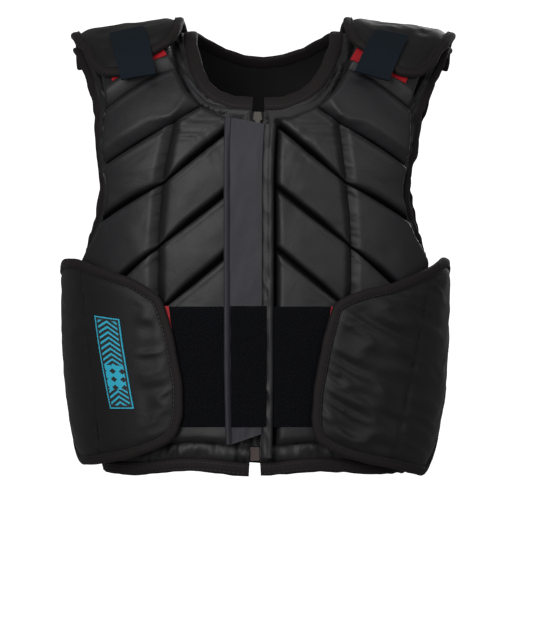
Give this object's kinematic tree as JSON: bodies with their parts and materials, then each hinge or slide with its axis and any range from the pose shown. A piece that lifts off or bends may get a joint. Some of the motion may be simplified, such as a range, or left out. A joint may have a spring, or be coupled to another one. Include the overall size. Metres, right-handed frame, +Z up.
{
  "type": "equestrian body protector",
  "caption": "Padded riding vest: foam panels quilted in chevrons, a zipped front under a storm flap, wrap-over waist flaps and strapped shoulder flaps.",
  "frame": {"origin": "between the shoulders, level with the crown of the inner shoulder line, over the zip line", "axes": "+Z up, the front faces -Y, the wearer's left is +X"},
  "size_m": [0.425, 0.2892, 0.489],
  "materials": {
    "shell_nylon": "black satin nylon over foam",
    "flap_cloth": "black nylon, fine diagonal weave",
    "binding_tape": "ribbed folded tape",
    "loop_pile": "fuzzy loop pile",
    "placket_cloth": "dark grey nylon",
    "hook_strap": "dark blue loop webbing",
    "red_tape": "woven tape",
    "label": "woven label",
    "zip_tape": "zip tape and moulded teeth",
    "zip_metal": "grey enamelled zinc"
  },
  "bodies": {
    "root": {"front_panel_right": "shell_nylon", "side_gusset_right": "shell_nylon", "armhole_binding_right": "binding_tape", "waist_flap_right": "flap_cloth", "waist_flap_binding_right": "binding_tape", "shoulder_flap_right": "flap_cloth", "shoulder_flap_binding_right": "binding_tape", "shoulder_strap_right": "hook_strap", "shoulder_tape_right": "red_tape", "loop_patch_right": "loop_pile", "red_tape_right": "red_tape", "zip_tape_right": "zip_tape", "front_panel_left": "shell_nylon", "side_gusset_left": "shell_nylon", "armhole_binding_left": "binding_tape", "waist_flap_left": "flap_cloth", "waist_flap_binding_left": "binding_tape", "shoulder_flap_left": "flap_cloth", "shoulder_flap_binding_left": "binding_tape", "shoulder_strap_left": "hook_strap", "shoulder_tape_left": "red_tape", "loop_patch_left": "loop_pile", "red_tape_left": "red_tape", "zip_tape_left": "zip_tape", "back_panel": "shell_nylon", "neck_binding": "binding_tape", "hem_binding": "binding_tape", "placket": "placket_cloth", "placket_binding": "binding_tape", "placket_fold": "placket_cloth", "loop_patch_placket": "loop_pile", "woven_label": "label", "zip_teeth": "zip_tape", "zip_slider": "zip_metal", "zip_bottom_box": "zip_metal"}
  },
  "joints": []
}
